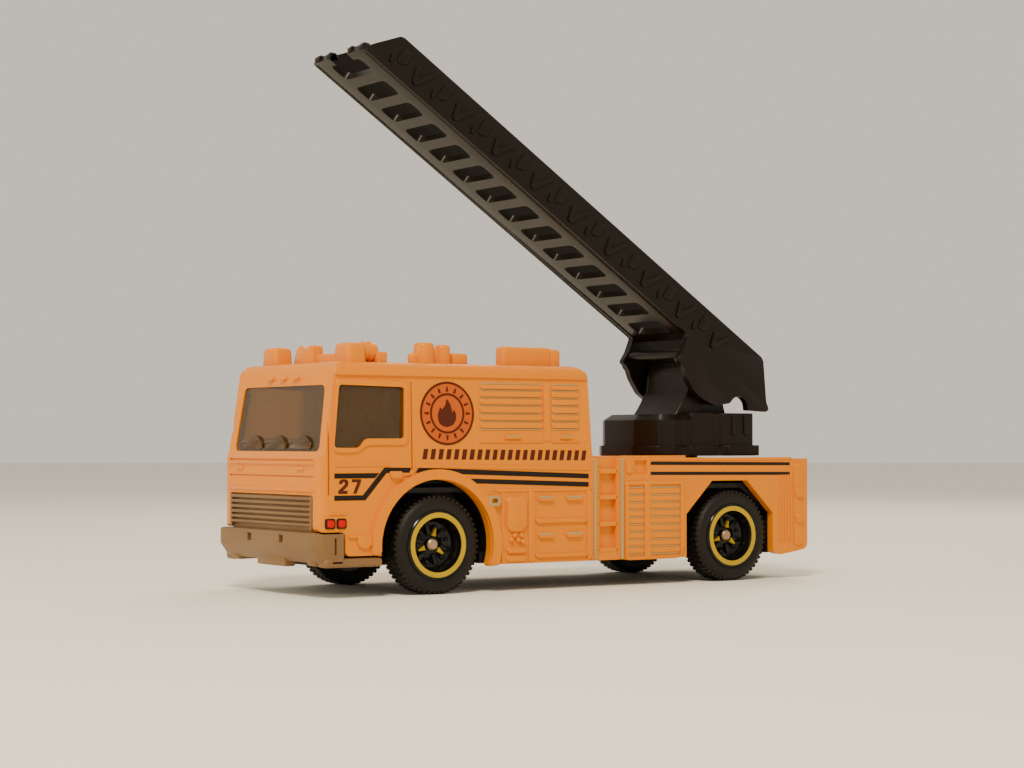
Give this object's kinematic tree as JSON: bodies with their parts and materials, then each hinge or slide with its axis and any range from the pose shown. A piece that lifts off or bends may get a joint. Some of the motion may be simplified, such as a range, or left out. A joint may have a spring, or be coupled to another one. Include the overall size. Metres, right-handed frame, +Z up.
{
  "type": "toy fire engine",
  "caption": "Small die-cast toy fire engine with a boxy cab, rolling wheels and a ladder that turns on a rear turntable and lifts.",
  "frame": {"origin": "on the ground, under the middle of the truck's length and width", "axes": "+Z up, the cab faces -Y, the truck's left side is +X"},
  "size_m": [0.0258, 0.0768, 0.0685],
  "materials": {
    "orange_enamel": "gloss orange enamel over a die-cast shell",
    "bronze_plastic": "satin bronze-grey moulded plastic",
    "base_plastic": "black moulded base",
    "smoked_clear": "smoke-brown clear plastic",
    "interior_plastic": "dark moulded cab insert",
    "ladder_plastic": "satin black moulded plastic",
    "tyre_rubber": "matte black tyre",
    "hub_plastic": "gloss black with a printed yellow ring",
    "axle_steel": "plain steel pin",
    "rivet_steel": "plain steel rivet"
  },
  "bodies": {
    "truck": {"body_shell": "orange_enamel", "front_bumper_grille": "bronze_plastic", "chassis_base": "base_plastic", "window_glazing": "smoked_clear", "cab_interior": "interior_plastic", "front_axle": "axle_steel", "rear_axle": "axle_steel", "base_rivet_front": "rivet_steel", "base_rivet_rear": "rivet_steel"},
    "turntable": {"turntable": "ladder_plastic", "turntable_rivet": "rivet_steel"},
    "ladder": {"ladder": "ladder_plastic"},
    "front_left_wheel": {"front_left_tyre": "tyre_rubber", "front_left_hub": "hub_plastic"},
    "front_right_wheel": {"front_right_tyre": "tyre_rubber", "front_right_hub": "hub_plastic"},
    "rear_left_wheel": {"rear_left_tyre": "tyre_rubber", "rear_left_hub": "hub_plastic"},
    "rear_right_wheel": {"rear_right_tyre": "tyre_rubber", "rear_right_hub": "hub_plastic"}
  },
  "joints": [
    {"name": "front_left_wheel_spin", "type": "hinge", "parent": "truck", "child": "front_left_wheel", "pos_m": [0.0105, -0.0214, 0.006], "axis": [1, 0, 0], "continuous": true},
    {"name": "front_right_wheel_spin", "type": "hinge", "parent": "truck", "child": "front_right_wheel", "pos_m": [-0.0105, -0.0214, 0.006], "axis": [1, 0, 0], "continuous": true},
    {"name": "rear_left_wheel_spin", "type": "hinge", "parent": "truck", "child": "rear_left_wheel", "pos_m": [0.0105, 0.0246, 0.006], "axis": [1, 0, 0], "continuous": true},
    {"name": "rear_right_wheel_spin", "type": "hinge", "parent": "truck", "child": "rear_right_wheel", "pos_m": [-0.0105, 0.0246, 0.006], "axis": [1, 0, 0], "continuous": true},
    {"name": "turntable_turn", "type": "hinge", "parent": "truck", "child": "turntable", "pos_m": [0, 0.02565, 0.0178], "axis": [0, 0, 1], "continuous": true},
    {"name": "ladder_raise", "type": "hinge", "parent": "turntable", "child": "ladder", "pos_m": [0, 0.02599, 0.02799], "axis": [-1, 0, 0], "range_deg": [-31.5, 2]}
  ]
}
